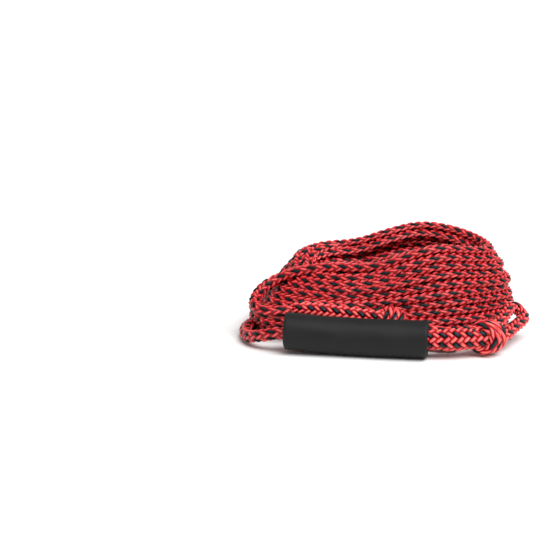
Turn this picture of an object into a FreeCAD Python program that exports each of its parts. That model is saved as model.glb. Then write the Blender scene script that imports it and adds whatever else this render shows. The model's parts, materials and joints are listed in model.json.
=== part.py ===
"""Tow rope handle: a coiled hollow-braid tow rope with a grip sleeve, a knot and an eye loop at each end.

Millimetres. +X runs to the right along the grip sleeve, +Y to the back of the coil, +Z up.
The origin is on the floor, under the middle of the whole piece.
"""
import FreeCAD, Part
import math
import os

V = FreeCAD.Vector

# ---------------------------------------------------------------- driving dimensions
SIZES = {
    # rope
    "rope_diameter": 11.0,
    "splice_diameter": 20.5,
    "splice_start": -30.0,
    # grip sleeve, a loose fit round the splice
    "sleeve_length": 125.0,
    "splice_clearance": 1.95,
    "sleeve_wall": 4.2,
    "sleeve_bore_radius": "=splice_diameter / 2 + splice_clearance",
    "sleeve_outer_radius": "=sleeve_bore_radius + sleeve_wall",
    "sleeve_bow_depth": 1.6,
    "sleeve_bow_radius": "=sleeve_length ^ 2 / 8 / sleeve_bow_depth",
    "sleeve_edge": 2.4,
    "sleeve_bore_edge": 1.2,
    "sleeve_yaw": -10.0,
    "sleeve_pitch": 1.0,
    "sleeve_floor_gap": 0.3,
    # knots and eyes
    "knot_half_length": 15.0,
    "knot_radius": 16.4,
    "knot_rounding": 12.0,
    "splice_straight": 16.0,
    "knot_from_straight": 39.0,
    "knot_yaw": 20.0,
    "free_knot_radius": 14.0,
    "free_knot_half_length": 13.5,
    "free_knot_rounding": 11.0,
    "eye_root_radius": 9.6,
    "eye_root_clearance": 0.4,
    "eye_root_reach": 21.5,
    "free_eye_root_reach": 19.5,
    "eye_yaw": 60.0,
    "eye_root_yaw": 50.0,
    "eye_pitch": 6.0,
    "eye_roll": 28.0,
    "free_eye_yaw": -9.0,
    "free_eye_pitch": -7.0,
    "free_eye_roll": 30.0,
    # coil
    "coil_height": 91.0,
    "coil_waist_height": 45.0,
    "coil_foot_half_width": 119.0,
    "coil_foot_half_depth": 97.5,
    "coil_waist_half_width": 118.0,
    "coil_waist_half_depth": 71.0,
    "coil_crest_half_width": 101.0,
    "coil_crest_half_depth": 52.0,
    "coil_hole_half_width": 58.0,
    "coil_hole_half_depth": 26.0,
    "coil_arch_radius": 387.0,
    "coil_bed_clearance": 9.25,
    "coil_bed_radius": "=splice_diameter / 2 + coil_bed_clearance",
    "coil_arch_middle": 60.0,
}

# The coil's sections lie about these points of the floor plan.
COIL_FOOT = (12.0, 119.5)
COIL_WAIST = (19.5, 119.5)
COIL_CREST = (31.0, 121.0)

# The grip sleeve's middle, and the middle of the free end's knot, in the same plan.
SLEEVE_MIDDLE = (-19.0, 0.0)
FREE_KNOT = (15.0, 28.5, 23.0)

# The whole piece's middle in that plan: it becomes the origin.
MIDDLE = (10.46, 95.19)

# Rope from the splice inside the sleeve to the coil's foot, past the sleeve's left end. The first two
# points come from the sleeve's own axis.
LEAD_ROUTE = [
    (-100.0, 18.5, 13.0),
    (-115.0, 34.0, 8.0),
    (-121.0, 58.0, 5.6),
    (-118.0, 84.0, 5.6),
    (-108.0, 107.0, 5.6),
]

# Rope from the coil's left flank to the free end's splice.
FREE_LEAD_ROUTE = [
    (-68.0, 98.0, 54.0),
    (-89.0, 106.0, 52.0),
    (-110.0, 100.5, 49.0),
    (-123.0, 84.5, 46.0),
    (-124.5, 64.0, 43.0),
    (-113.0, 47.5, 40.5),
    (-94.0, 41.0, 38.5),
    (-72.0, 43.5, 37.0),
]
FREE_SPLICE_ROUTE = [
    (-72.0, 43.5, 37.0),
    (-50.0, 39.0, 34.5),
    (-24.0, 33.5, 30.5),
    (4.0, 30.0, 25.0),
]

# The hollow that the free end lies in, at the foot of the coil's front: two points of its axis.
BED_AXIS = [(-30.0, 33.0, 27.0), (92.0, 15.5, 9.0)]

# An eye loop in its own plane: along the loop, and across it.
EYE_OUTLINE = [(1.5, 6.7), (19.0, 7.0), (36.0, 10.3), (49.5, 12.2), (61.0, 8.6)]
FREE_EYE_OUTLINE = [(1.5, 6.7), (15.0, 7.4), (26.5, 9.4), (38.5, 7.2)]


# ---------------------------------------------------------------- document and helpers
doc = FreeCAD.newDocument("TowRopeHandle")
sheet = doc.addObject("Spreadsheet::Sheet", "Sizes")
for row, (alias, value) in enumerate(SIZES.items(), start=1):
    sheet.set(f"A{row}", alias)
    sheet.set(f"B{row}", str(value))
    sheet.setAlias(f"B{row}", alias)
doc.recompute()


def size(alias):
    """The value of one cell of the sheet."""
    return float(getattr(sheet, alias))


def plan(x, y, z):
    """A point of the plan, moved so that the whole piece's middle is the origin."""
    return V(x - MIDDLE[0], y - MIDDLE[1], z)


def bind(obj, **links):
    """Bind an object's sizes to expressions of the sheet's cells."""
    for prop, expression in links.items():
        obj.setExpression(prop, expression)
    return obj


def make(kind, name, place=None, **links):
    """A document object with its sizes bound and its place set."""
    obj = bind(doc.addObject(kind, name), **links)
    if place is not None:
        obj.Placement = place
    return obj


def boolean(kind, name, base, tool):
    """A cut or a common of two objects, under its own label."""
    obj = doc.addObject(kind, name)
    obj.Base = base
    obj.Tool = tool
    obj.Label = name
    return obj


def rounded_route(name, points, closed=False):
    """Straight runs joined by tangent arcs, each as large as its two runs allow."""
    ring = [points[-1]] + points + [points[0]] if closed else points
    arcs = []
    radii = []
    for before, corner, after in zip(ring, ring[1:], ring[2:]):
        back = before - corner
        on = after - corner
        reach = 0.45 * min(back.Length, on.Length)
        back.normalize()
        on.normalize()
        turn = math.pi - back.getAngle(on)
        radii.append(reach / math.tan(turn / 2))
        bisector = (back + on).normalize()
        centre = corner + bisector * (reach / math.sin(turn / 2))
        arcs.append((corner + back * reach, centre - bisector * radii[-1], corner + on * reach))
    edges = []
    start = arcs[-1][2] if closed else points[0]
    for first, middle, last in arcs:
        edges.append(Part.LineSegment(start, first).toShape())
        edges.append(Part.Arc(first, middle, last).toShape())
        start = last
    if not closed:
        edges.append(Part.LineSegment(start, points[-1]).toShape())
    print(f"{name}: route radii {[round(r, 1) for r in radii]}")
    return Part.Wire(edges)


def cord_tube(name, points, diameter, closed=False):
    """A round cord swept along its rounded route, as an object of the document."""
    route = rounded_route(name, points, closed)
    start = route.Edges[0].valueAt(route.Edges[0].FirstParameter)
    direction = route.Edges[0].tangentAt(route.Edges[0].FirstParameter)
    section = Part.Wire([Part.Circle(start, direction, diameter / 2).toShape()])
    shape = route.makePipeShell([section], True, True)
    expected = math.pi * diameter ** 2 / 4 * route.Length
    print(f"{name}: length {route.Length:.1f}, volume {shape.Volume:.0f} of {expected:.0f}")
    if abs(shape.Volume - expected) > 0.02 * expected:
        raise RuntimeError(f"{name}: the tube's volume is not its section times its length")
    obj = doc.addObject("Part::Feature", name)
    obj.Shape = shape
    obj.Label = name
    return obj


def mirrored(outline):
    """An eye's outline from one leg round the tip to the other leg."""
    return outline + [(along, -across) for along, across in reversed(outline)]


def turned(yaw, pitch, roll):
    """A rotation that yaws about Z, pitches its X axis up and rolls about it, in degrees."""
    return FreeCAD.Rotation(V(0, 0, 1), yaw) * FreeCAD.Rotation(V(0, -1, 0), pitch) \
        * FreeCAD.Rotation(V(1, 0, 0), roll)


# ---------------------------------------------------------------- grip sleeve
def sleeve_place():
    """The sleeve's own frame: X along it, origin at its middle."""
    lift = size("sleeve_outer_radius") + size("sleeve_floor_gap")
    tip_drop = size("sleeve_length") / 2 * math.sin(math.radians(size("sleeve_pitch")))
    bow = size("sleeve_bow_depth")
    lift += max(0.0, tip_drop - bow) + 0.15
    return FreeCAD.Placement(plan(*SLEEVE_MIDDLE, lift),
                             turned(size("sleeve_yaw"), -size("sleeve_pitch"), 0))


def along_sleeve(distance, drop=0.0):
    """A point on the sleeve's straight axis, that far from its middle."""
    return sleeve_place().multVec(V(distance, 0, drop))


def grip_sleeve():
    """A soft tube, bowed slightly so that its middle is lowest, with rounded ends."""
    sweep = "Sizes.sleeve_length / Sizes.sleeve_bow_radius * 180 / pi"
    half_sweep = math.degrees(size("sleeve_length") / size("sleeve_bow_radius")) / 2
    upright = FreeCAD.Placement(V(0, 0, size("sleeve_bow_radius")), FreeCAD.Rotation(V(1, 0, 0), 90))
    start = FreeCAD.Placement(V(), FreeCAD.Rotation(V(0, 0, 1), -90 - half_sweep))
    place = sleeve_place().multiply(upright).multiply(start)
    wall = make("Part::Torus", "sleeve_wall", place, Radius1="Sizes.sleeve_bow_radius",
                Radius2="Sizes.sleeve_outer_radius", Angle3=sweep)
    bore = make("Part::Torus", "sleeve_bore", place, Radius1="Sizes.sleeve_bow_radius",
                Radius2="Sizes.sleeve_bore_radius", Angle3=sweep)
    tube = boolean("Part::Cut", "sleeve_tube", wall, bore)
    doc.recompute()
    fillets = []
    for number, edge in enumerate(tube.Shape.Edges, start=1):
        if edge.Curve.TypeId != "Part::GeomCircle":
            continue
        if abs(edge.Curve.Radius - size("sleeve_outer_radius")) < 0.01:
            fillets.append((number, size("sleeve_edge"), size("sleeve_edge")))
        elif abs(edge.Curve.Radius - size("sleeve_bore_radius")) < 0.01:
            fillets.append((number, size("sleeve_bore_edge"), size("sleeve_bore_edge")))
    if len(fillets) != 4:
        raise RuntimeError("the sleeve's four end edges were not found")
    sleeve = doc.addObject("Part::Fillet", "grip_sleeve")
    sleeve.Base = tube
    sleeve.Edges = fillets
    sleeve.Label = "grip_sleeve"
    return sleeve


# ---------------------------------------------------------------- sleeve end of the rope
def splice_bend():
    """Where the doubled stretch, straight as far as here beyond the sleeve, turns away from its axis."""
    return along_sleeve(size("sleeve_length") / 2 + size("splice_straight"))


def sleeve_knot_middle():
    """The knot lies on the floor, beyond the bend."""
    yaw, reach = math.radians(size("knot_yaw")), size("knot_from_straight")
    middle = splice_bend() + V(reach * math.cos(yaw), reach * math.sin(yaw), 0)
    return V(middle.x, middle.y, size("knot_radius") + size("sleeve_floor_gap"))


def sleeve_splice():
    """The doubled stretch of the rope, from inside the sleeve to the knot."""
    route = [along_sleeve(size("splice_start")), splice_bend(), sleeve_knot_middle()]
    return cord_tube("sleeve_end_splice", route, size("splice_diameter"))


def knot(name, middle, radius, half_length, rounding, yaw, root):
    """A tied knot's outer shape, a rounded barrel, with the seat in which the eye's root turns."""
    turn = FreeCAD.Rotation(V(0, 0, 1), yaw) * FreeCAD.Rotation(V(0, 1, 0), 90)
    end = middle - turn.multVec(V(0, 0, size(half_length)))
    barrel = make("Part::Cylinder", f"{name}_barrel", FreeCAD.Placement(end, turn),
                  Radius=f"Sizes.{radius}", Height=f"2 * Sizes.{half_length}")
    doc.recompute()
    wraps = doc.addObject("Part::Fillet", f"{name}_wraps")
    wraps.Base = barrel
    wraps.Edges = [(number, size(rounding), size(rounding))
                   for number, edge in enumerate(barrel.Shape.Edges, start=1)
                   if edge.Curve.TypeId == "Part::GeomCircle"]
    seat = make("Part::Sphere", f"{name}_seat", FreeCAD.Placement(root, FreeCAD.Rotation()),
                Radius="Sizes.eye_root_radius + Sizes.eye_root_clearance")
    return boolean("Part::Cut", name, wraps, seat)


def eye(name, root, turn, outline):
    """An eye loop: its two legs run from a round root, where they leave the knot, to the tip."""
    frame = FreeCAD.Placement(root, turn)
    points = [frame.multVec(V(along, across, 0)) for along, across in mirrored(outline)]
    loop = cord_tube(f"{name}_loop", points, size("rope_diameter"), closed=True)
    seam_back = turn * FreeCAD.Rotation(V(0, 0, 1), 180)
    ball = make("Part::Sphere", f"{name}_root", FreeCAD.Placement(root, seam_back),
                Radius="Sizes.eye_root_radius")
    return boolean("Part::Fuse", name, loop, ball)


def sleeve_eye_root():
    """Where the sleeve end's eye leaves its knot: the swing joint's axis passes through it."""
    yaw = math.radians(size("eye_root_yaw"))
    reach = size("eye_root_reach")
    return sleeve_knot_middle() + V(reach * math.cos(yaw), reach * math.sin(yaw), 0)


def sleeve_end():
    """Splice, knot and eye loop beyond the grip sleeve."""
    root = sleeve_eye_root()
    swing = turned(size("eye_yaw"), size("eye_pitch"), size("eye_roll"))
    return [
        sleeve_splice(),
        knot("sleeve_end_knot", sleeve_knot_middle(), "knot_radius", "knot_half_length",
             "knot_rounding", size("knot_yaw"), root),
        eye("sleeve_end_eye", root, swing, EYE_OUTLINE),
    ]


# ---------------------------------------------------------------- free end of the rope
def free_eye_root():
    """Where the free end's eye leaves its knot, right of it and a little lower."""
    direction = V(1.0, -0.2, -0.32)
    direction.normalize()
    return plan(*FREE_KNOT) + direction * size("free_eye_root_reach")


def free_end():
    """Splice, knot and eye loop that lie between the sleeve and the coil."""
    root = free_eye_root()
    lie = turned(size("free_eye_yaw"), size("free_eye_pitch"), size("free_eye_roll"))
    return [
        cord_tube("free_end_splice", [plan(*p) for p in FREE_SPLICE_ROUTE], size("splice_diameter")),
        knot("free_end_knot", plan(*FREE_KNOT), "free_knot_radius", "free_knot_half_length",
             "free_knot_rounding", size("free_eye_yaw"), root),
        eye("free_end_eye", root, lie, FREE_EYE_OUTLINE),
    ]


# ---------------------------------------------------------------- coil and the rope that joins it
def rope_leads():
    """The two uncoiled stretches of thin rope."""
    start = along_sleeve(size("splice_start"))
    mouth = along_sleeve(-size("sleeve_length") / 2 - 3.0)
    lead = [start, mouth] + [plan(*p) for p in LEAD_ROUTE]
    return [
        cord_tube("sleeve_end_lead", lead, size("rope_diameter")),
        cord_tube("free_end_lead", [plan(*p) for p in FREE_LEAD_ROUTE], size("rope_diameter")),
    ]


def ring_section(name, middle, height, half_width, half_depth):
    """One level ellipse of the coil."""
    place = FreeCAD.Placement(plan(*middle, height), FreeCAD.Rotation())
    return make("Part::Ellipse", name, place, MajorRadius=half_width, MinorRadius=half_depth)


def loft(name, sections):
    """A solid through level sections."""
    obj = doc.addObject("Part::Loft", name)
    obj.Sections = sections
    obj.Solid = True
    obj.Ruled = False
    return obj


def rope_coil():
    """The outer shape of all the turns: a mound with a hole, arched higher on its right."""
    top = size("coil_height") + 4.0
    mound = loft("coil_mound", [
        ring_section("coil_foot", COIL_FOOT, 0.0, "Sizes.coil_foot_half_width",
                     "Sizes.coil_foot_half_depth"),
        ring_section("coil_waist", COIL_WAIST, size("coil_waist_height"), "Sizes.coil_waist_half_width",
                     "Sizes.coil_waist_half_depth"),
        ring_section("coil_crest", COIL_CREST, top, "Sizes.coil_crest_half_width",
                     "Sizes.coil_crest_half_depth"),
    ])
    hole_foot = ring_section("coil_hole_foot", COIL_WAIST, -5.0, "Sizes.coil_hole_half_width",
                             "Sizes.coil_hole_half_depth")
    hole_top = ring_section("coil_hole_top", COIL_WAIST, top + 5.0, "Sizes.coil_hole_half_width",
                            "Sizes.coil_hole_half_depth")
    ring = boolean("Part::Cut", "coil_ring", mound, loft("coil_hole", [hole_foot, hole_top]))
    depth = 3 * size("coil_foot_half_depth")
    arch_place = FreeCAD.Placement(
        plan(size("coil_arch_middle"), COIL_FOOT[1] + depth / 2,
             size("coil_height") - size("coil_arch_radius")),
        FreeCAD.Rotation(V(1, 0, 0), 90))
    arch = make("Part::Cylinder", "coil_arch", arch_place, Radius="Sizes.coil_arch_radius",
                Height="3 * Sizes.coil_foot_half_depth")
    low = boolean("Part::Common", "coil_arched", ring, arch)
    start, end = (plan(*p) for p in BED_AXIS)
    bed = make("Part::Cylinder", "free_end_bed",
               FreeCAD.Placement(start, FreeCAD.Rotation(V(0, 0, 1), end - start)),
               Radius="Sizes.coil_bed_radius")
    bed.Height = (end - start).Length
    return boolean("Part::Cut", "rope_coil", low, bed)


# ---------------------------------------------------------------- build, check and write
pieces = [grip_sleeve()] + sleeve_end() + free_end() + rope_leads() + [rope_coil()]
doc.recompute()

for obj in doc.Objects:
    if "Invalid" in obj.State or "Error" in obj.State:
        raise RuntimeError(f"{obj.Label}: {obj.State}")
for piece in pieces:
    if piece.Shape.isNull() or not piece.Shape.isValid():
        raise RuntimeError(f"{piece.Label}: its shape is not valid")

whole = FreeCAD.BoundBox()
for piece in pieces:
    whole.add(piece.Shape.optimalBoundingBox())
print("box", [round(v, 2) for v in (whole.XMin, whole.YMin, whole.ZMin, whole.XMax, whole.YMax, whole.ZMax)])
print("sleeve axis", along_sleeve(1.0) - along_sleeve(0.0), "middle", along_sleeve(0.0))
print("sleeve end eye root", sleeve_eye_root(), "free end eye root", free_eye_root())
print("eye middles", [piece.Shape.Solids[0].CenterOfMass for piece in pieces if "_eye" in piece.Label])

os.makedirs("parts", exist_ok=True)
for piece in pieces:
    piece.Shape.exportStep(f"parts/{piece.Label}.step")
    print(piece.Label, "solids", len(piece.Shape.Solids), "volume", round(piece.Shape.Volume))
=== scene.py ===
"""Looks of the tow rope handle: braided rope, knots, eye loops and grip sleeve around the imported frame."""
import json
import math
import bpy
import numpy as np
from mathutils import Matrix, Vector, noise


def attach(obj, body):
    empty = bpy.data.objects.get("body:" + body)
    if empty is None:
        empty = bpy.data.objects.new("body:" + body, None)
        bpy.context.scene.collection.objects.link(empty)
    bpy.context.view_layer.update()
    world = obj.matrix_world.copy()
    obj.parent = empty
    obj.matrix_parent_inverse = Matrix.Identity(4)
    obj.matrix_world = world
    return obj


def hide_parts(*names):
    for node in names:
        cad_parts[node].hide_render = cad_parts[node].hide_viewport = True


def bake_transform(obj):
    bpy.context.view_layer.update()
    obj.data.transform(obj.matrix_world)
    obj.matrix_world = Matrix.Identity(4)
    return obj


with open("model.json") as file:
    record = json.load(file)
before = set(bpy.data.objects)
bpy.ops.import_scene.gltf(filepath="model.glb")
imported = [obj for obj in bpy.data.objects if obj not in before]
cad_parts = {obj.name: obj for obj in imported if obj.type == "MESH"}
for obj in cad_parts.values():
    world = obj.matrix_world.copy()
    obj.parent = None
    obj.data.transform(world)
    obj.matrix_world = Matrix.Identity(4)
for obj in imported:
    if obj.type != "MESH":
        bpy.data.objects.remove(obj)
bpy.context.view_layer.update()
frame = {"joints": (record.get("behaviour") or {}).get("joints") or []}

MM = 0.001
PLAN_MIDDLE = (10.46, 95.19)          # the floor plan's point that is the frame's origin, in mm

# ---------------------------------------------------------------- sizes, in mm
ROPE_RADIUS = 5.3                     # the thin rope where it is round
ROPE_PITCH = 61.0                     # length in which a strand goes once round the thin rope
COIL_HALF_WIDTH = 6.0                 # the thin rope where it lies flattened in the coil
COIL_HALF_THICKNESS = 4.4
SPLICE_RADIUS = 9.6
SPLICE_PITCH = 68.0
SPLICE_TAPER = 0.03                   # length, in m, over which the rope thickens into a doubled stretch
SPLICE_LIFT = 1.4                     # how far the doubled stretch lies above its solid's axis
SPLICE_RELIEF = 1.1
ROPE_STRANDS = 8                      # each way round
SPLICE_STRANDS = 12
ROPE_RELIEF = 0.85
CROWN_RISE = 1.55                     # the top of a float above a gap, as a share of the relief
GAP_DEPTH = 0.95                      # a gap below the rope's radius, as a share of the relief
KNOT_PITCH = 76.0
KNOT_HALF_WIDTH = 4.6
KNOT_HALF_THICKNESS = 6.4
KNOT_WRAPS = 2.5
KNOT_SKIN = 5.2                       # from the knot's outside in to the line of its wraps
KNOT_END_SKIN = 4.5
KNOT_ROUNDING = 0.14                  # how much closer the end wraps are, as a share
KNOT_SLANT = 2.6
KNOT_TAILS = 0.6                      # how far the wraps' ends run into the knot, as a share of its reach
KNOT_WRAP_YAW = 28.0                  # degrees from the splice's direction to the sleeve knot's axis
SLEEVE_KNOT_RADIUS, SLEEVE_KNOT_REACH = 16.0, 14.0
FREE_KNOT_RADIUS, FREE_KNOT_REACH = 14.2, 12.5
EYE_HALF_WIDTH = 5.4
EYE_HALF_THICKNESS = 5.2
EYE_LEG_OFFSET = 4.5                  # each leg's place beside the middle, inside the knot
EYE_LEG_START = 0.55                  # share of the way from the eye's root to the knot's middle

SLEEVE_MIDDLE = (-19.0, 0.0, 16.85)
SLEEVE_LENGTH = 125.0
SLEEVE_RADIUS = 16.4
SLEEVE_BORE = 12.2
SLEEVE_BOW_RADIUS = 1220.7
SLEEVE_EDGE = 2.4
SLEEVE_BORE_EDGE = 1.2
SLEEVE_RIB_PITCH = 2.6
SLEEVE_RIB_HEIGHT = 0.08
SLEEVE_UNEVENNESS = 0.35
SLEEVE_YAW = -10.0
SLEEVE_PITCH = 1.0
SPLICE_STRAIGHT = 16.0
KNOT_FROM_STRAIGHT = 39.0
KNOT_YAW = 20.0
KNOT_HEIGHT = 16.7

# ---------------------------------------------------------------- routes of the uncoiled rope, in mm
SPLICE_START = -30.0                  # from the sleeve's middle, along its axis
LEAD_START = SPLICE_START - 8         # the thin rope and the doubled stretch run into each other here
SPLICE_SKIN_START = SPLICE_START - 14
LEAD_ROUTE = [
    (-100.0, 18.5, 13.0),
    (-112.0, 34.0, 8.0),
    (-117.0, 58.0, 5.6),
    (-115.5, 84.0, 5.6),
    (-108.0, 107.0, 5.6),
]
FREE_LEAD_ROUTE = [
    (-41.0, 93.0, 60.0),
    (-66.0, 98.0, 55.0),
    (-83.0, 102.0, 49.0),
    (-98.0, 97.5, 41.5),
    (-107.0, 83.5, 34.5),
    (-109.0, 65.0, 30.0),
    (-103.0, 48.5, 28.0),
    (-90.0, 41.0, 28.5),
    (-72.0, 42.0, 31.0),
]
FREE_SPLICE_ROUTE = [
    (-72.0, 42.0, 31.0),
    (-50.0, 38.5, 29.5),
    (-24.0, 33.5, 27.0),
    (4.0, 30.0, 24.0),
]
FREE_KNOT = (15.0, 28.5, 23.0)
EYE_OUTLINE = [(1.5, 6.2), (19.0, 5.7), (34.0, 7.0), (47.0, 8.0), (57.5, 6.4)]
FREE_EYE_OUTLINE = [(1.5, 6.4), (15.0, 7.4), (26.5, 9.4), (38.5, 7.2)]
EYE_TURN = (62, 8, 42)                # yaw, pitch and roll of each eye's plane, in degrees
FREE_EYE_TURN = (-9, -14, 12)

# ---------------------------------------------------------------- the coil, in mm and degrees
COIL_MIDDLE = (12.0, 118.0)
COIL_HALF_AXES = (115.0, 95.0)
COIL_ROWS = [5, 4, 4, 4, 3, 3, 3, 3, 2, 2, 1]     # turns in each row, from the floor up
TURN_PITCH = 11.8
ROW_RISE = 7.4
POINTS_PER_TURN = 16
COIL_START = 172.0
LAST_TURN_SHARE = 0.80
ROW_CHANGE = (0.06, 0.30)            # share of each turn in which it moves over to the next place
# tables of (angle, value) round the coil, from +X towards +Y:
# each row's rise as a share of ROW_RISE, how far each row leans in, and how far the middle rows swell out
HEIGHT = [(0, 0.91), (25, 1.02), (50, 1.12), (66, 1.12), (85, 1.02), (108, 0.90), (135, 0.92), (180, 0.72),
          (225, 0.72), (250, 0.73), (272, 0.79), (290, 0.95), (306, 1.05), (335, 0.98)]
LEAN = [(0, 1.0), (40, 2.0), (90, 4.4), (135, 2.6), (180, 4.0), (225, 5.4), (270, 5.2), (315, 3.6)]
BULGE = [(0, 17.0), (45, 5.0), (90, 0.0), (135, 2.0), (180, 14.0), (225, 8.0), (270, 0.0), (320, 4.0)]
BULGE_POWER = 0.65                    # under 1 puts the bulge's fullest row below the middle of the height
# where the free end's rope pushes the foot of the coil's front back
HOLLOW_DEPTH = 14.0
HOLLOW_ANGLE, HOLLOW_SPREAD = 260, 32
HOLLOW_SHARES = [1.0, 1.0, 1.0, 1.0, 0.8, 0.55, 0.3, 0.12, 0, 0, 0, 0]     # row by row, from the floor up
# how far turns stray: sideways at the right end, and outwards low at the left
RIGHT_STRAY = 9.0
LEFT_SPREAD_OUT = 11.0
LEFT_ANGLE, LEFT_SPREAD = 214, 26
LEFT_ROW, LEFT_ROWS = 1.2, 2.4
# how unevenly the turns lie, more so in the upper rows
WANDER = 2.6
LIFT = 1.1
UPPER_LOOSENESS = 1.2
LOOSE_FROM_ROW, LOOSE_ROWS = 5, 4
# how far along the thin rope it turns from round to flat, and back before its end, in m
FLAT_FROM, FLAT_TO_END, FLAT_CHANGE = 0.17, 0.19, 0.08


# ---------------------------------------------------------------- places
def plan(x, y, z):
    """A point of the plan, in mm, as a point of the frame, in metres."""
    return Vector(((x - PLAN_MIDDLE[0]) * MM, (y - PLAN_MIDDLE[1]) * MM, z * MM))


def turned(yaw, pitch, roll):
    """A rotation that yaws about Z, pitches its X axis up and rolls about it, in degrees."""
    return (Matrix.Rotation(math.radians(yaw), 4, "Z") @ Matrix.Rotation(math.radians(-pitch), 4, "Y")
            @ Matrix.Rotation(math.radians(roll), 4, "X"))


SLEEVE_FRAME = Matrix.Translation(plan(*SLEEVE_MIDDLE)) @ turned(SLEEVE_YAW, -SLEEVE_PITCH, 0)


def along_sleeve(distance):
    """A point on the sleeve's straight axis, that far from its middle."""
    return SLEEVE_FRAME @ Vector((distance * MM, 0, 0))


def splice_bend():
    """Where the doubled stretch, straight as far as here beyond the sleeve, turns away from its axis."""
    return along_sleeve(SLEEVE_LENGTH / 2 + SPLICE_STRAIGHT)


def sleeve_knot_middle():
    yaw = math.radians(KNOT_YAW)
    middle = splice_bend() + Vector((math.cos(yaw), math.sin(yaw), 0)) * KNOT_FROM_STRAIGHT * MM
    return Vector((middle.x, middle.y, KNOT_HEIGHT * MM))


def joint(name):
    return next(j for j in frame["joints"] if j["name"] == name)


# ---------------------------------------------------------------- routes
def round_table(table, angle):
    """A value read from a table round the coil, eased between its entries."""
    angle = angle % 360
    entries = table + [(table[0][0] + 360, table[0][1])]
    for (a, low), (b, high) in zip(entries, entries[1:]):
        if a <= angle <= b:
            share = (1 - math.cos(math.pi * (angle - a) / (b - a))) / 2
            return low + (high - low) * share
    return entries[-1][1]


def ease(x):
    x = min(1.0, max(0.0, x))
    return x * x * (3 - 2 * x)


def coil_places():
    """(row, column) of each turn: out and in by turns, row upon row."""
    places = []
    for row, count in enumerate(COIL_ROWS):
        columns = list(range(count))
        places += [(row, c) for c in (columns if row % 2 == 0 else columns[::-1])]
    return places


def front_hollow(angle, row):
    """How far the foot of the coil's front is pushed back by the rope's free end."""
    away = (angle % 360 - HOLLOW_ANGLE) / HOLLOW_SPREAD
    below, above = HOLLOW_SHARES[int(row)], HOLLOW_SHARES[int(row) + 1]
    low = below + (above - below) * (row - int(row))
    return HOLLOW_DEPTH * math.exp(-away * away) * low


def loose_side(angle, row, turn):
    """How far a turn strays sideways at the right end, and the lowest ones at the left."""
    right = math.cos(math.radians(angle % 360))
    right = max(0.0, right) ** 3 * noise.noise(Vector((turn * 1.37, 5.5, 0.0))) * RIGHT_STRAY
    left = (angle % 360 - LEFT_ANGLE) / LEFT_SPREAD
    return right + LEFT_SPREAD_OUT * math.exp(-left * left) * max(0.0, 1 - abs(row - LEFT_ROW) / LEFT_ROWS)


def coil_route():
    """Control points of all the turns, clockwise seen from above, starting at the left."""
    places = coil_places()
    top = len(COIL_ROWS) - 1
    points = []
    steps = int((len(places) - 1 + LAST_TURN_SHARE) * POINTS_PER_TURN)
    for step in range(2, steps + 1):
        turn = step // POINTS_PER_TURN
        share = step / POINTS_PER_TURN - turn
        (row, column), (next_row, next_column) = places[max(turn - 1, 0)], places[turn]
        move = ease((share - ROW_CHANGE[0]) / (ROW_CHANGE[1] - ROW_CHANGE[0]))
        row += (next_row - row) * move
        column += (next_column - column) * move
        angle = COIL_START - 360 * (turn + share)
        loose = 1.0 + UPPER_LOOSENESS * ease((row - LOOSE_FROM_ROW) / LOOSE_ROWS)
        wander = noise.noise(Vector((step * 0.23, 3.7, 0.0))) * WANDER * loose
        lift = noise.noise(Vector((step * 0.21, 9.1, 4.0))) * LIFT * loose
        offset = (-round_table(LEAN, angle) * row - TURN_PITCH * column
                  + round_table(BULGE, angle) * math.sin(math.pi * (row / top) ** BULGE_POWER)
                  - front_hollow(angle, row) + loose_side(angle, row, turn) + wander)
        height = COIL_HALF_THICKNESS + 0.3 + ROW_RISE * row * round_table(HEIGHT, angle)
        height += lift * min(1.0, row)
        a = math.radians(angle)
        points.append(plan(COIL_MIDDLE[0] + (COIL_HALF_AXES[0] + offset) * math.cos(a),
                           COIL_MIDDLE[1] + (COIL_HALF_AXES[1] + offset) * math.sin(a), height))
    return points


def smooth_line(name, points, samples=8):
    """A smooth NURBS line with those control points, read as closely spaced points."""
    curve = bpy.data.curves.new(name, "CURVE")
    curve.dimensions = "3D"
    curve.resolution_u = samples
    spline = curve.splines.new("NURBS")
    spline.points.add(len(points) - 1)
    for point, co in zip(spline.points, points):
        point.co = (*co, 1.0)
    spline.order_u = 3
    spline.use_endpoint_u = True
    obj = bpy.data.objects.new(name, curve)
    bpy.context.scene.collection.objects.link(obj)
    mesh = bpy.data.meshes.new_from_object(obj.evaluated_get(bpy.context.evaluated_depsgraph_get()))
    line = np.array([v.co for v in mesh.vertices], float)
    bpy.data.objects.remove(obj)
    bpy.data.curves.remove(curve)
    bpy.data.meshes.remove(mesh)
    return line


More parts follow.
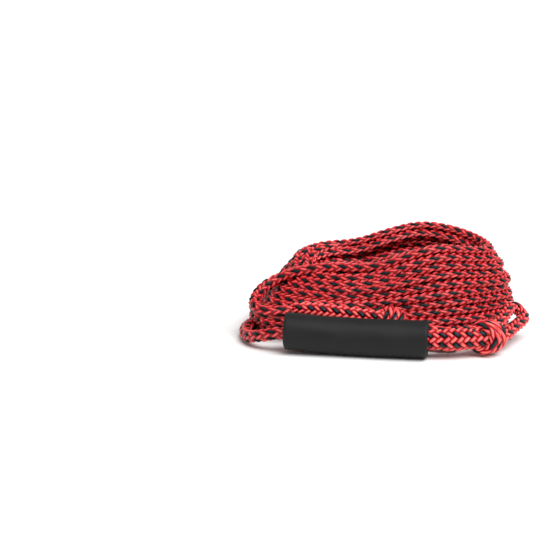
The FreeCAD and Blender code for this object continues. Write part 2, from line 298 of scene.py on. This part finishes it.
class Line:
    """A smooth line with its length, direction and a level cross direction at every point."""

    def __init__(self, points, upright=(0, 0, 1), roll=0.0):
        steps = np.linalg.norm(np.diff(points, axis=0), axis=1)
        keep = np.concatenate([[True], steps > 1e-6])
        self.points = points[keep]
        steps = np.linalg.norm(np.diff(self.points, axis=0), axis=1)
        self.at = np.concatenate([[0], np.cumsum(steps)])
        self.length = self.at[-1]
        tangent = np.gradient(self.points, self.at, axis=0)
        tangent /= np.linalg.norm(tangent, axis=1)[:, None]
        up = np.array(upright, float)
        normal = up - (tangent @ up)[:, None] * tangent
        normal /= np.linalg.norm(normal, axis=1)[:, None]
        cross = np.cross(tangent, normal)
        angle = roll * np.array([noise.noise(Vector((s * 9.0, 1.7, 0.0))) for s in self.at])
        c, s = np.cos(angle)[:, None], np.sin(angle)[:, None]
        self.normal = normal * c + cross * s
        self.cross = cross * c - normal * s
        self.tangent = tangent

    def read(self, table, s):
        return np.stack([np.interp(s, self.at, table[:, i]) for i in range(3)], -1)

    def part(self, start, end):
        """The line's own points between two distances, as a path."""
        inside = (self.at > start + 1e-5) & (self.at < end - 1e-5)
        ends = self.read(self.points, np.array([start, end]))
        return [tuple(p) for p in np.vstack([ends[:1], self.points[inside], ends[1:]])]


# ---------------------------------------------------------------- braid
STRAND_UV_STEP = 3.0                  # texture places of neighbouring strands, and of the two families
FAMILY_UV_STEP = 40
STRAND_NUMBER_STEP = 4096             # floats are numbered strand by strand, all above zero
FLOAT_NUMBER_BASE = 9000000


def top_floats(column, row, unit):
    """Which float lies on top at places of the crossing lattice, and where on it each place is.

    The strands of one family are numbered along a and those of the other along b. The first family
    is over where its crossing's two numbers add up to 0 or 1 of 4, so each float is two crossings long.
    """
    a, b = (column - row) / 2 / unit, (column + row) / 2 / unit
    j, k = np.floor(a + 0.5), np.floor(b + 0.5)
    first_over = (j + k) % 4 < 2
    strand = np.where(first_over, j, k)
    start = np.where(first_over, k - (j + k) % 4, j - (j + k - 2) % 4)
    across = np.where(first_over, a, b) - strand
    along = np.where(first_over, b, a) - start
    return first_over, strand, start, across, along


def lattice_faces(rows, around):
    """The skin's diamonds, with the row and the leftmost column of each."""
    row, number = np.meshgrid(np.arange(1, rows), np.arange(around), indexing="ij")
    side = (number + row % 2) % around
    left, right = row * around + number, row * around + (number + 1) % around
    below, above = (row - 1) * around + side, (row + 1) * around + side
    return np.stack([left, above, right, below], -1).reshape(-1, 4), row, 2 * number + row % 2


def end_faces(row, inner, around, hub):
    """The triangles that close one end of the skin round the hub, a vertex on the line."""
    faces = []
    for column in range(around):
        here, beside = row * around + column, row * around + (column + 1) % around
        middle = inner * around + (column + row % 2) % around
        faces += [(hub, here, middle), (hub, middle, beside)]
    return faces if row == 0 else [(hub, second, first) for hub, first, second in faces]


def strand_coordinates(row, left, unit, strands, first_over, strand):
    """Texture coordinates of each diamond's corners: across its strand and along it."""
    corners = []
    for corner_row, column in ((row, left), (row + 1, left + 1), (row, left + 2), (row - 1, left + 1)):
        a, b = (column - corner_row) / 2 / unit, (column + corner_row) / 2 / unit
        across = np.where(first_over, a, b) - strand
        place = (strand % strands) * STRAND_UV_STEP + np.where(first_over, 0, FAMILY_UV_STEP)
        corners.append(np.stack([across + place, np.where(first_over, b, a)], -1))
    return np.stack(corners, -2).reshape(-1, 2)


def sharpen_between_floats(mesh, float_of_loop):
    """Edges between two floats are sharp, and those inside one stay smooth."""
    edge_of_loop = np.zeros(len(mesh.loops), np.int32)
    mesh.loops.foreach_get("edge_index", edge_of_loop)
    lowest = np.full(len(mesh.edges), 2 ** 60)
    highest = np.full(len(mesh.edges), -2 ** 60)
    np.minimum.at(lowest, edge_of_loop, float_of_loop)
    np.maximum.at(highest, edge_of_loop, float_of_loop)
    sharp = mesh.attributes.new("sharp_edge", "BOOLEAN", "EDGE")
    sharp.data.foreach_set("value", lowest != highest)


def braid(name, line, start, end, pitch, half_width, half_thickness, strands, fine=1, relief=ROPE_RELIEF):
    """A hollow braid with that many strands each way, over two and under two, along a stretch of a line.

    Each strand surfaces as raised floats two crossings long. The mesh is one closed skin whose
    vertices lie on the crossing lattice: fine is the number of divisions of half a crossing.
    half_width and half_thickness are in mm, each one value or a function of the distance along the line.
    """
    around = 2 * strands * fine
    rows = max(4, int(round((end - start) / (pitch * MM) * 4 * strands * fine)))
    unit = 2 * fine
    row = np.arange(rows + 1)[:, None]
    column = 2 * np.arange(around)[None, :] + row % 2
    across, along = top_floats(column, row, unit)[3:]
    crown = np.clip(1 - (2 * across) ** 2, 0, 1) ** 0.8 * np.clip(1 - (along - 0.5) ** 4, 0, 1)
    raised = (relief * CROWN_RISE * crown - relief * GAP_DEPTH) * MM
    at = np.broadcast_to(start + (end - start) * row / rows, column.shape)
    angle = column * math.pi / around
    width = half_width(at) if callable(half_width) else half_width
    thickness = half_thickness(at) if callable(half_thickness) else half_thickness
    centre, normal, cross = (line.read(table, at.ravel()).reshape(*column.shape, 3)
                             for table in (line.points, line.normal, line.cross))
    co = (centre + cross * ((width * MM + raised) * np.cos(angle))[..., None]
          + normal * ((thickness * MM + raised) * np.sin(angle))[..., None]).reshape(-1, 3)
    co = np.vstack([co, line.read(line.points, np.array([start, end]))])

    diamonds, face_row, left = lattice_faces(rows, around)
    caps = end_faces(0, 1, around, len(co) - 2) + end_faces(rows, rows - 1, around, len(co) - 1)
    first_over, strand, float_start = top_floats(left + 1, face_row, unit)[:3]
    black = (~first_over & (strand % 2 == 0)).ravel()
    family = np.where(first_over, 1, -1)
    float_number = family * (strand * STRAND_NUMBER_STEP + float_start + FLOAT_NUMBER_BASE)

    mesh = bpy.data.meshes.new(name)
    mesh.from_pydata(co.tolist(), [], [tuple(face) for face in diamonds.tolist()] + caps)
    mesh.polygons.foreach_set("material_index", np.concatenate([black, np.zeros(len(caps))]).astype(np.int32))
    mesh.polygons.foreach_set("use_smooth", np.ones(len(mesh.polygons), bool))
    in_caps = len(mesh.loops) - 4 * len(diamonds)
    coordinates = strand_coordinates(face_row, left, unit, strands, first_over, strand)
    layer = mesh.uv_layers.new(name="strand")
    layer.data.foreach_set("uv", np.vstack([coordinates, np.zeros((in_caps, 2))]).ravel())
    # the crown also drives the yarn's painted shade in the gaps and painted highlight on float tops
    height = mesh.attributes.new("crown", "FLOAT", "POINT")
    height.data.foreach_set("value", np.concatenate([crown.ravel(), [0.0, 0.0]]))
    sharpen_between_floats(mesh, np.concatenate([np.repeat(float_number.ravel(), 4), np.full(in_caps, -1)]))
    for material in (YARN_RED, YARN_BLACK):
        mesh.materials.append(material)
    mesh.update()
    obj = bpy.data.objects.new(name, mesh)
    bpy.context.scene.collection.objects.link(obj)
    return obj


# ---------------------------------------------------------------- materials
FILAMENT_SCALE = (7.0, 0.5, 1.0)      # filaments are fine across the strand and long along it
PATCH_SCALE = 120.0
UNEVEN_SHARE = 0.55                   # how much the filaments and patches change a strand's colour
LEVEL_SCALE = 0.62
# colour ramp stops: painted shade in the gaps, the strand's own colour on its sides, painted highlight on its
# top
PAINTED_SHADE_STOP, SIDE_STOP, PAINTED_HIGHLIGHT_STOP = 0.36, 0.70, 0.93
RUBBER_DARK = (0.004, 0.004, 0.004, 1)
RUBBER_SCUFFED = (0.009, 0.009, 0.009, 1)
RUBBER_ROUGHNESS = (0.50, 0.70)


def new_material(name):
    material = bpy.data.materials.new(name)
    material.use_nodes = True
    return material, material.node_tree, material.node_tree.nodes["Principled BSDF"]


def node(tree, kind, **values):
    made = tree.nodes.new(kind)
    for key, value in values.items():
        if hasattr(made, key):
            setattr(made, key, value)
        else:
            made.inputs[key.replace("_", " ")].default_value = value
    return made


def ramp(tree, source, stops):
    made = tree.nodes.new("ShaderNodeValToRGB")
    made.color_ramp.elements[0].position, made.color_ramp.elements[0].color = stops[0]
    made.color_ramp.elements[1].position, made.color_ramp.elements[1].color = stops[-1]
    for position, colour in stops[1:-1]:
        made.color_ramp.elements.new(position).color = colour
    tree.links.new(source, made.inputs["Fac"])
    return made


def yarn(name, gap_painted_shade, side, top, shine, roughness):
    """Bundles of fine polyethylene filaments, with painted shade where strands dive under each other and a
    painted highlight on the top of each float.
    """
    material, tree, shader = new_material(name)
    uv = node(tree, "ShaderNodeUVMap", uv_map="strand")
    fine = node(tree, "ShaderNodeMapping")
    fine.inputs["Scale"].default_value = FILAMENT_SCALE
    tree.links.new(uv.outputs["UV"], fine.inputs["Vector"])
    streak = node(tree, "ShaderNodeTexNoise", Scale=1.0, Detail=3.0, Roughness=0.6)
    tree.links.new(fine.outputs["Vector"], streak.inputs["Vector"])
    place = node(tree, "ShaderNodeTexCoord")
    patch = node(tree, "ShaderNodeTexNoise", Scale=PATCH_SCALE, Detail=2.0)
    tree.links.new(place.outputs["Object"], patch.inputs["Vector"])
    crown = node(tree, "ShaderNodeAttribute", attribute_name="crown")
    uneven = node(tree, "ShaderNodeMath", operation="ADD")
    tree.links.new(streak.outputs["Fac"], uneven.inputs[0])
    tree.links.new(patch.outputs["Fac"], uneven.inputs[1])
    level = node(tree, "ShaderNodeMath", operation="MULTIPLY_ADD")
    level.inputs[1].default_value = UNEVEN_SHARE
    tree.links.new(uneven.outputs["Value"], level.inputs[0])
    tree.links.new(crown.outputs["Fac"], level.inputs[2])
    scaled = node(tree, "ShaderNodeMath", operation="MULTIPLY")
    scaled.inputs[1].default_value = LEVEL_SCALE
    tree.links.new(level.outputs["Value"], scaled.inputs[0])
    # painted shade towards the gaps and painted highlight towards each float's top, set by the crown
    colour = ramp(tree, scaled.outputs["Value"], [(PAINTED_SHADE_STOP, gap_painted_shade), (SIDE_STOP, side), (PAINTED_HIGHLIGHT_STOP, top)])
    tree.links.new(colour.outputs["Color"], shader.inputs["Base Color"])
    bump = node(tree, "ShaderNodeBump", Strength=0.8, Distance=0.0005)
    tree.links.new(streak.outputs["Fac"], bump.inputs["Height"])
    tree.links.new(bump.outputs["Normal"], shader.inputs["Normal"])
    shader.inputs["Roughness"].default_value = roughness
    shader.inputs["Specular IOR Level"].default_value = shine
    return material


def grip_rubber():
    """Black foam rubber with a satin skin: very fine pores and faint scuffs."""
    material, tree, shader = new_material("grip_rubber_satin")
    place = node(tree, "ShaderNodeTexCoord")
    pores = node(tree, "ShaderNodeTexNoise", Scale=2600.0, Detail=3.0)
    tree.links.new(place.outputs["Object"], pores.inputs["Vector"])
    scuff = node(tree, "ShaderNodeTexNoise", Scale=55.0, Detail=4.0, Roughness=0.65)
    tree.links.new(place.outputs["Object"], scuff.inputs["Vector"])
    colour = ramp(tree, scuff.outputs["Fac"], [(0.3, RUBBER_DARK), (0.75, RUBBER_SCUFFED)])
    tree.links.new(colour.outputs["Color"], shader.inputs["Base Color"])
    rough = node(tree, "ShaderNodeMapRange")
    rough.inputs["To Min"].default_value, rough.inputs["To Max"].default_value = RUBBER_ROUGHNESS
    tree.links.new(scuff.outputs["Fac"], rough.inputs["Value"])
    tree.links.new(rough.outputs["Result"], shader.inputs["Roughness"])
    bump = node(tree, "ShaderNodeBump", Strength=0.35, Distance=0.00012)
    tree.links.new(pores.outputs["Fac"], bump.inputs["Height"])
    tree.links.new(bump.outputs["Normal"], shader.inputs["Normal"])
    shader.inputs["Specular IOR Level"].default_value = 0.3
    return material


# gap colours are painted shade; top colours are painted highlights, pinkish on red and teal on black
YARN_RED = yarn("yarn_red", gap_painted_shade=(0.16, 0.001, 0.004, 1), side=(0.74, 0.009, 0.020, 1),
                top=(0.98, 0.17, 0.15, 1), shine=0.45, roughness=0.40)
YARN_BLACK = yarn("yarn_black", gap_painted_shade=(0.001, 0.001, 0.001, 1), side=(0.001, 0.002, 0.003, 1),
                  top=(0.016, 0.048, 0.055, 1), shine=0.14, roughness=0.36)


# ---------------------------------------------------------------- rope pieces
def declare(obj, line, start, end, stands_for, body="rope"):
    """This stretch of rope takes the place of its CAD nodes and rides on its body."""
    path = line.part(start, end)
    return stand_in(obj, stands_for, body)


def stand_in(obj, stands_for, body="rope"):
    """A piece of rope takes the place of CAD nodes and rides on a body."""
    if stands_for:
        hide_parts(*stands_for)
    if body:
        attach(obj, body)
    return obj


def coil_pieces():
    """The thin rope, from inside the sleeve through all the turns to the free end's splice."""
    route = [along_sleeve(LEAD_START), along_sleeve(-SLEEVE_LENGTH / 2 - 3)]
    route += [plan(*p) for p in LEAD_ROUTE]
    route += coil_route() + [plan(*p) for p in FREE_LEAD_ROUTE]
    line = Line(smooth_line("rope_line", route), roll=0.45)
    tail = line.length - FLAT_TO_END

    def flat(s):
        rising = np.clip((s - FLAT_FROM + FLAT_CHANGE / 2) / FLAT_CHANGE, 0, 1)
        return rising * np.clip((tail + FLAT_CHANGE / 2 - s) / FLAT_CHANGE, 0, 1)

    def width(s):
        return ROPE_RADIUS + (COIL_HALF_WIDTH - ROPE_RADIUS) * flat(s)

    def thickness(s):
        return ROPE_RADIUS + (COIL_HALF_THICKNESS - ROPE_RADIUS) * flat(s)

    # the pieces meet where the braid's pattern begins again, which is every eight of its rows
    repeat = 8 * ROPE_PITCH * MM / (4 * ROPE_STRANDS)
    stands = [["rope_coil", "sleeve_end_lead"], [], ["free_end_lead"]]
    count = len(stands)
    stops = [round(line.length * n / count / repeat) * repeat for n in range(count)] + [line.length]
    for number, (start, end) in enumerate(zip(stops, stops[1:])):
        obj = braid(f"thin_rope_{number + 1}", line, start, end, ROPE_PITCH, width, thickness, ROPE_STRANDS)
        declare(obj, line, start, end, stands[number])
    print("thin rope", round(line.length, 3), "m")


def sleeve_end_splice():
    """The thick doubled stretch through the sleeve."""
    lift = Vector((0, 0, SPLICE_LIFT * MM))
    route = [along_sleeve(SPLICE_SKIN_START), along_sleeve(20) + lift, splice_bend() + lift,
             sleeve_knot_middle()]
    line = Line(smooth_line("splice_line", route, 24))

    def radius(s):
        # the buried tail makes the stretch a little lumpy
        swell = 0.45 * np.sin(s * 210) + 0.3 * np.sin(s * 97 + 1)
        growth = (SPLICE_RADIUS - ROPE_RADIUS) * np.clip(s / SPLICE_TAPER, 0, 1)
        return ROPE_RADIUS + growth + swell * np.clip(s / (2 * SPLICE_TAPER), 0, 1)

    obj = braid("sleeve_end_splice_braid", line, 0, line.length, SPLICE_PITCH, radius, radius,
                SPLICE_STRANDS, fine=2, relief=SPLICE_RELIEF)
    stand_in(obj, ["sleeve_end_splice"])


def free_end_splice():
    """The doubled stretch before the free end's knot."""
    route = [plan(*p) for p in FREE_SPLICE_ROUTE] + [plan(*FREE_KNOT)]
    line = Line(smooth_line("free_splice_line", route, 24))

    def radius(s):
        return ROPE_RADIUS + (SPLICE_RADIUS - ROPE_RADIUS) * np.clip((s + 0.012) / SPLICE_TAPER, 0, 1)

    obj = braid("free_end_splice_braid", line, 0, line.length, SPLICE_PITCH, radius, radius,
                SPLICE_STRANDS, fine=2, relief=SPLICE_RELIEF)
    stand_in(obj, ["free_end_splice"])


def knot(name, node_name, middle, axis, out, radius, reach):
    """Slanting wraps of rope drawn tight round the neck. Radius and reach along the axis are in mm."""
    axis = axis.normalized()
    up = Vector((0, 0, 1))
    side = axis.cross(up).normalized()
    up = side.cross(axis).normalized()
    points = []
    per_turn = 12
    for step in range(int(KNOT_WRAPS * per_turn) + 1):
        share = step / (KNOT_WRAPS * per_turn)
        a = 2 * math.pi * KNOT_WRAPS * share + 2.2
        r = (radius - KNOT_SKIN) * MM * (1 - KNOT_ROUNDING + KNOT_ROUNDING * math.sin(math.pi * share))
        x = (share - 0.5) * 2 * (reach - KNOT_END_SKIN) * MM + KNOT_SLANT * MM * math.cos(a + 0.6)
        points.append(middle + axis * x + up * (r * math.sin(a)) + side * (r * math.cos(a)))
    tail = reach * KNOT_TAILS * MM
    points = [middle - axis * tail] + points + [middle + out * tail]
    line = Line(smooth_line(f"{name}_line", points, 10), upright=tuple(axis))
    obj = braid(name, line, 0, line.length, KNOT_PITCH, KNOT_HALF_WIDTH, KNOT_HALF_THICKNESS,
                ROPE_STRANDS, fine=2, relief=SPLICE_RELIEF)
    stand_in(obj, [node_name])


def eye(name, node_name, knot_middle, root, turn, outline):
    """An eye loop: two legs from inside the knot to the tip, bending where they leave the knot."""
    frame_turn = turned(*turn)
    local = Matrix.Translation(root) @ frame_turn
    legs = [local @ Vector((along * MM, across * MM, 0)) for along, across in outline]
    back = [local @ Vector((along * MM, -across * MM, 0)) for along, across in reversed(outline)]
    inner = root.lerp(knot_middle, EYE_LEG_START)
    sideways = frame_turn @ Vector((0, EYE_LEG_OFFSET * MM, 0))
    route = [inner + sideways] + legs + back + [inner - sideways]
    line = Line(smooth_line(f"{name}_line", route, 16))
    obj = braid(name, line, 0, line.length, ROPE_PITCH, EYE_HALF_WIDTH, EYE_HALF_THICKNESS,
                ROPE_STRANDS, fine=2)
    stand_in(obj, [node_name], body=None)
    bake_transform(obj)


def sleeve_end():
    """The knot and eye beyond the sleeve; the knot's axis is turned from the splice towards the eye."""
    middle = sleeve_knot_middle()
    root = Vector(joint("sleeve_eye_swing")["pos_m"])
    axis = turned(KNOT_YAW + KNOT_WRAP_YAW, 0, 0) @ Vector((1, 0, 0))
    knot("sleeve_end_knot_wraps", "sleeve_end_knot", middle, axis, (root - middle).normalized(),
         SLEEVE_KNOT_RADIUS, SLEEVE_KNOT_REACH)
    eye("sleeve_end_eye_braid", "sleeve_end_eye", middle, root, EYE_TURN, EYE_OUTLINE)


def free_end():
    """The knot and eye at the rope's free end."""
    middle = plan(*FREE_KNOT)
    root = Vector(joint("free_eye_lift")["pos_m"])
    knot("free_end_knot_wraps", "free_end_knot", middle, root - middle, (root - middle).normalized(),
         FREE_KNOT_RADIUS, FREE_KNOT_REACH)
    eye("free_end_eye_braid", "free_end_eye", middle, root, FREE_EYE_TURN, FREE_EYE_OUTLINE)


# ---------------------------------------------------------------- grip sleeve
def sleeve_profile():
    """Half section of the tube: (distance along, radius), outer skin, rounded ends and bore."""
    half, edge, bore_edge = SLEEVE_LENGTH / 2, SLEEVE_EDGE, SLEEVE_BORE_EDGE
    outer = [(-half + edge + (2 * half - 2 * edge) * n / 90, SLEEVE_RADIUS) for n in range(91)]
    right = [(half - edge + edge * math.sin(a), SLEEVE_RADIUS - edge + edge * math.cos(a))
             for a in np.linspace(0.2, math.pi / 2, 7)]
    right += [(half - bore_edge + bore_edge * math.cos(a), SLEEVE_BORE + bore_edge - bore_edge * math.sin(a))
              for a in np.linspace(0.0, math.pi / 2, 5)]
    bore = [(half - bore_edge - (2 * half - 2 * bore_edge) * n / 16, SLEEVE_BORE) for n in range(1, 16)]
    left = [(-x, r) for x, r in reversed(right)]
    return outer + right + bore + left


def skin_unevenness(x, angle):
    """Faint ribs round the tube, stronger and weaker along it, and the softness of its foam, in mm."""
    rib = SLEEVE_RIB_HEIGHT * math.sin(x * 2 * math.pi / SLEEVE_RIB_PITCH) * (0.6 + 0.4 * math.sin(x * 0.11))
    place = Vector((x * 0.035, 1.4 * math.cos(angle), 1.4 * math.sin(angle)))
    return rib + noise.noise(place) * SLEEVE_UNEVENNESS


def grip_sleeve():
    """The soft tube, bowed a little, with faint ribs round it."""
    profile = sleeve_profile()
    around = 128
    co, faces = [], []
    for n, (x, r) in enumerate(profile):
        for m in range(around):
            a = 2 * math.pi * m / around
            uneven_r = r + skin_unevenness(x, a) if r > SLEEVE_BORE + 2 else r
            bow = SLEEVE_BOW_RADIUS - math.sqrt(SLEEVE_BOW_RADIUS ** 2 - x * x)
            co.append(SLEEVE_FRAME @ Vector((x * MM, uneven_r * math.cos(a) * MM,
                                             (uneven_r * math.sin(a) + bow) * MM)))
    total = len(profile)
    for n in range(total):
        for m in range(around):
            n2, m2 = (n + 1) % total, (m + 1) % around
            faces.append((n * around + m2, n2 * around + m2, n2 * around + m, n * around + m))
    mesh = bpy.data.meshes.new("grip_sleeve_skin")
    mesh.from_pydata(co, [], faces)
    mesh.polygons.foreach_set("use_smooth", np.ones(len(faces), bool))
    mesh.materials.append(grip_rubber())
    obj = bpy.data.objects.new("grip_sleeve_skin", mesh)
    bpy.context.scene.collection.objects.link(obj)
    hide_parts("grip_sleeve")
    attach(obj, "sleeve")


# ---------------------------------------------------------------- studio
FLOOR_HALF_WIDTH = 9.0                # m
FLOOR_SECTION = [(-9.0, 0.0), (2.4, 0.0), (3.0, 0.05), (3.6, 0.2), (4.4, 0.5), (6.5, 1.6), (9.0, 3.4)]
FLOOR_COLOUR = (0.90, 0.90, 0.90, 1)
GLOW_STRENGTH = 0.36
LIGHT_STRENGTH = 3.5
LIGHT_ANGLE = 50                      # degrees across, so that shadows are soft
LIGHT_DIRECTION = (-0.4, 0.55, -1.0)


def studio():
    """A pale floor that rises far behind the object, under one broad soft light and an even glow."""
    co = [(x, y, z) for y, z in FLOOR_SECTION for x in (-FLOOR_HALF_WIDTH, FLOOR_HALF_WIDTH)]
    faces = [(2 * n, 2 * n + 1, 2 * n + 3, 2 * n + 2) for n in range(len(FLOOR_SECTION) - 1)]
    mesh = bpy.data.meshes.new("floor")
    mesh.from_pydata(co, [], faces)
    mesh.polygons.foreach_set("use_smooth", np.ones(len(faces), bool))
    material, _, shader = new_material("pale_floor")
    shader.inputs["Base Color"].default_value = FLOOR_COLOUR
    shader.inputs["Roughness"].default_value = 0.9
    shader.inputs["Specular IOR Level"].default_value = 0.0
    mesh.materials.append(material)
    floor = bpy.data.objects.new("floor", mesh)
    bpy.context.scene.collection.objects.link(floor)
    world = bpy.data.worlds.new("studio")
    world.use_nodes = True
    world.node_tree.nodes["Background"].inputs["Color"].default_value = (1, 1, 1, 1)
    world.node_tree.nodes["Background"].inputs["Strength"].default_value = GLOW_STRENGTH
    bpy.context.scene.world = world
    light = bpy.data.lights.new("soft_light", "SUN")
    light.energy = LIGHT_STRENGTH
    light.angle = math.radians(LIGHT_ANGLE)
    lamp = bpy.data.objects.new("soft_light", light)
    lamp.rotation_euler = Vector(LIGHT_DIRECTION).to_track_quat("-Z", "Y").to_euler()
    bpy.context.scene.collection.objects.link(lamp)


def camera():
    """A low view from the front: the sleeve's middle lies right of the view's axis and below it."""
    distance, elevation = 1.1, math.radians(11)
    right_of_axis, below_axis, frame_width = 0.0779, 0.0609, 0.46371
    forward = Vector((0, math.cos(elevation), -math.sin(elevation)))
    up = Vector((0, math.sin(elevation), math.cos(elevation)))
    sleeve = plan(-19.0, 0.0, 17.0)
    data = bpy.data.cameras.new("camera")
    data.sensor_width = 36.0
    data.lens = data.sensor_width * distance / frame_width
    obj = bpy.data.objects.new("camera", data)
    obj.location = sleeve - Vector((1, 0, 0)) * right_of_axis + up * below_axis - forward * distance
    obj.rotation_euler = forward.to_track_quat("-Z", "Y").to_euler()
    bpy.context.scene.collection.objects.link(obj)
    bpy.context.scene.camera = obj
    bpy.context.scene.view_settings.view_transform = "Standard"


coil_pieces()
sleeve_end_splice()
free_end_splice()
sleeve_end()
free_end()
grip_sleeve()
studio()
camera()
